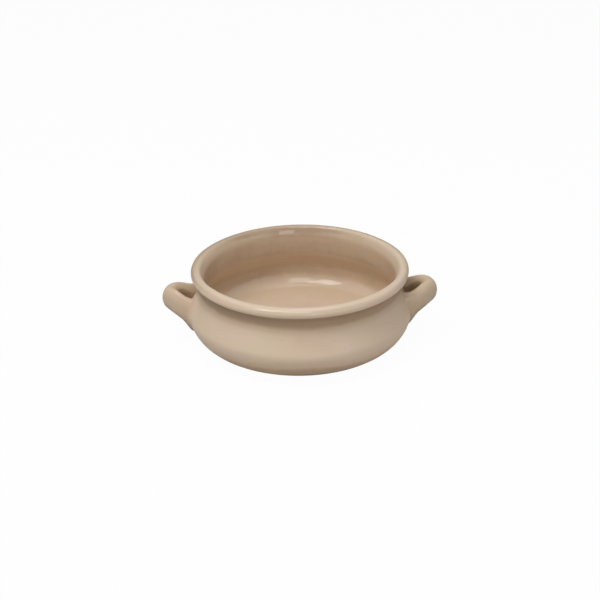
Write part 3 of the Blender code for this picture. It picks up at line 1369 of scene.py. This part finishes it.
@dataclass(frozen=True)
class Softbox:
    """A lamp with a diffusing front, turned towards the dish."""

    name: str
    azimuth: float
    elevation: float
    width: float
    height: float
    power: float
    distance: float = 1.0

    def place(self, target: Vector) -> None:
        """Hang the lamp.

        Args:
            target: The point that it faces.
        """
        lamp = bpy.data.lights.new(self.name, "AREA")
        lamp.shape = "RECTANGLE"
        lamp.size = self.width
        lamp.size_y = self.height
        lamp.energy = self.power
        obj = add_object(self.name, lamp)
        way = direction(self.azimuth, self.elevation)
        obj.location = target + way * self.distance
        obj.rotation_euler = (-way).to_track_quat("-Z", "Y").to_euler()


@dataclass
class Studio:
    """The pale table, the soft lights and the camera."""

    dish_height: float
    softboxes: tuple[Softbox, ...] = (
        Softbox("softbox_key", azimuth=-52, elevation=62, width=0.35, height=0.5, power=3.75),
        Softbox("softbox_front", azimuth=-4, elevation=62, width=0.35, height=0.5, power=2.3),
        Softbox("softbox_top", azimuth=-20, elevation=100, width=0.35, height=0.5, power=1.0),
        Softbox("window", azimuth=13, elevation=12, width=0.32, height=0.20, power=0.8),
        Softbox("softbox_left", azimuth=-90, elevation=50, width=1.0, height=1.0, power=1.9),
        Softbox("softbox_right", azimuth=90, elevation=50, width=1.0, height=1.0, power=1.7),
        Softbox("reflector_left", azimuth=-45, elevation=18, width=0.5, height=0.5, power=0.5),
        Softbox("reflector_right", azimuth=45, elevation=18, width=0.5, height=0.5, power=0.95),
    )
    white: Rgba = (1.0, 1.0, 1.0, 1.0)
    floor_size: float = 8.0
    floor_colour: Rgba = (0.75, 0.75, 0.75, 1.0)
    floor_roughness: float = 0.9
    floor_glow: float = 0.972
    camera_azimuth: float = -1.8
    camera_elevation: float = 24.06
    camera_distance: float = 0.9561
    camera_roll: float = math.radians(-0.69)
    rim_below_top: float = 3.1 * MM
    aim_height: float = 25.2 * MM
    lens: float = 96.0
    sensor: float = 36.0

    def seen(self, sheet: NodeSheet) -> NodeSocket:
        """Return 1 for rays from the camera, straight or reflected, and 0 for rays that gather light.

        Args:
            sheet: The sheet of the surface that the rays meet.

        Returns:
            The socket to link from.
        """
        path = sheet.add("ShaderNodeLightPath").outputs
        seen = sheet.math("MAXIMUM", path["Is Camera Ray"], path["Is Glossy Ray"])
        return sheet.math("MAXIMUM", seen, path["Is Transmission Ray"])

    def build_room(self) -> None:
        """Set the white surroundings, which are seen and reflected but give no light."""
        world = bpy.data.worlds.new("white_room")
        bpy.context.scene.world = world
        world.use_nodes = True
        sheet = NodeSheet(world.node_tree)
        background = world.node_tree.nodes["Background"]
        sheet.wire(background, {"Color": self.white, "Strength": self.seen(sheet)})

    def build_table(self) -> None:
        """Lay the pale table, which keeps the dish's shadow."""
        mesh = bpy.data.meshes.new("table")
        bm = bmesh.new()
        bmesh.ops.create_grid(bm, x_segments=1, y_segments=1, size=self.floor_size / 2)
        bm.to_mesh(mesh)
        bm.free()
        table = add_object("table", mesh)

        material = bpy.data.materials.new("pale_table")
        material.use_nodes = True
        sheet = NodeSheet(material.node_tree)
        shader = material.node_tree.nodes["Principled BSDF"]
        finish = {"Base Color": self.floor_colour, "Roughness": self.floor_roughness}
        sheet.wire(shader, finish | {"Specular IOR Level": 0.0})
        glow = sheet.add("ShaderNodeEmission", {"Color": self.white, "Strength": 1.0})
        share = sheet.math("MULTIPLY", self.seen(sheet), self.floor_glow)
        shaders = {0: share, 1: shader.outputs["BSDF"], 2: glow.outputs["Emission"]}
        mixed = sheet.add("ShaderNodeMixShader", shaders)
        output = material.node_tree.nodes["Material Output"]
        sheet.wire(output, {"Surface": mixed.outputs["Shader"]})
        mesh.materials.append(material)

    def build_lights(self) -> None:
        """Hang the softboxes."""
        target = Vector((0, 0, self.dish_height / 2))
        for softbox in self.softboxes:
            softbox.place(target)
            log.info("lamp %s", softbox.name)

    def build_camera(self) -> None:
        """Set up the camera, which looks down on the dish from just left of its front."""
        data = bpy.data.cameras.new("camera")
        data.lens = self.lens
        data.sensor_width = self.sensor
        camera = add_object("camera", data)
        rim = Vector((0, 0, self.dish_height - self.rim_below_top))
        way = direction(self.camera_azimuth, self.camera_elevation)
        camera.location = rim + way * self.camera_distance
        look = Vector((0, 0, self.aim_height)) - camera.location
        camera.rotation_mode = "QUATERNION"
        roll = Quaternion((0, 0, 1), self.camera_roll)
        camera.rotation_quaternion = look.to_track_quat("-Z", "Y") @ roll
        bpy.context.scene.camera = camera

    def build(self) -> None:
        """Set up the whole studio."""
        bpy.context.scene.view_settings.view_transform = "Standard"
        self.build_room()
        self.build_table()
        self.build_lights()
        self.build_camera()


LOOP_HEIGHTS = {
    Side.LEFT: LoopHeights(front=23.9 * MM, back=25.4 * MM, tip=29.3 * MM),
    Side.RIGHT: LoopHeights(front=24.6 * MM, back=26.0 * MM, tip=30.2 * MM),
}
BACK_SPREAD = SlipSpread(outer=2.0 * MM, top=1.2 * MM, inner=0.8 * MM, bottom=2.0 * MM)
SLIP_SPREADS = {
    (Side.LEFT, Arm.FRONT): SlipSpread(
        outer=4.5 * MM, top=7.0 * MM, inner=3.2 * MM, bottom=0.5 * MM, along=0.5, fullness=0.85
    ),
    (Side.LEFT, Arm.BACK): BACK_SPREAD,
    (Side.RIGHT, Arm.FRONT): SlipSpread(outer=1.3 * MM, top=1.2 * MM, inner=0.8 * MM, bottom=3.0 * MM),
    (Side.RIGHT, Arm.BACK): BACK_SPREAD,
}


def make(piece: ThrownBowl | EarHandle | SlipCollar, material: Material) -> None:
    """Build a piece, dress it and log it.

    Args:
        piece: The piece's description.
        material: Its finish.
    """
    obj = piece.build()
    piece.dress(obj, material)
    log.info("piece %s, %d faces", obj.name, len(obj.data.polygons))


def main() -> None:
    """Build the dish and its studio, piece by piece."""
    logging.basicConfig(level=logging.INFO, format="%(name)s: %(message)s")
    _, bowl_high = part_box("bowl")
    wall = WallProfile(height=bowl_high.z, belly_radius=bowl_high.x)
    touch = HandTouch(height=bowl_high.z)
    effects = GlazeEffects()

    bowl = ThrownBowl(wall, touch)
    make(bowl, GlazeFinish("bowl_glaze", bare_foot=True).material(effects))

    handle_glaze = GlazeFinish("handle_glaze").material(effects)
    slip_glaze = GlazeFinish("slip_glaze").material(effects)
    for side in Side:
        handle_low, handle_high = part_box(f"handle_{side.label}")
        reach = max(abs(handle_low.x), abs(handle_high.x))
        handle = EarHandle(side, wall, touch, reach, LOOP_HEIGHTS[side])
        make(handle, handle_glaze)
        for arm in Arm:
            make(SlipCollar(handle, arm, SLIP_SPREADS[side, arm], bowl.coat), slip_glaze)

    Studio(dish_height=bowl_high.z).build()


if __name__ == "__main__":
    main()
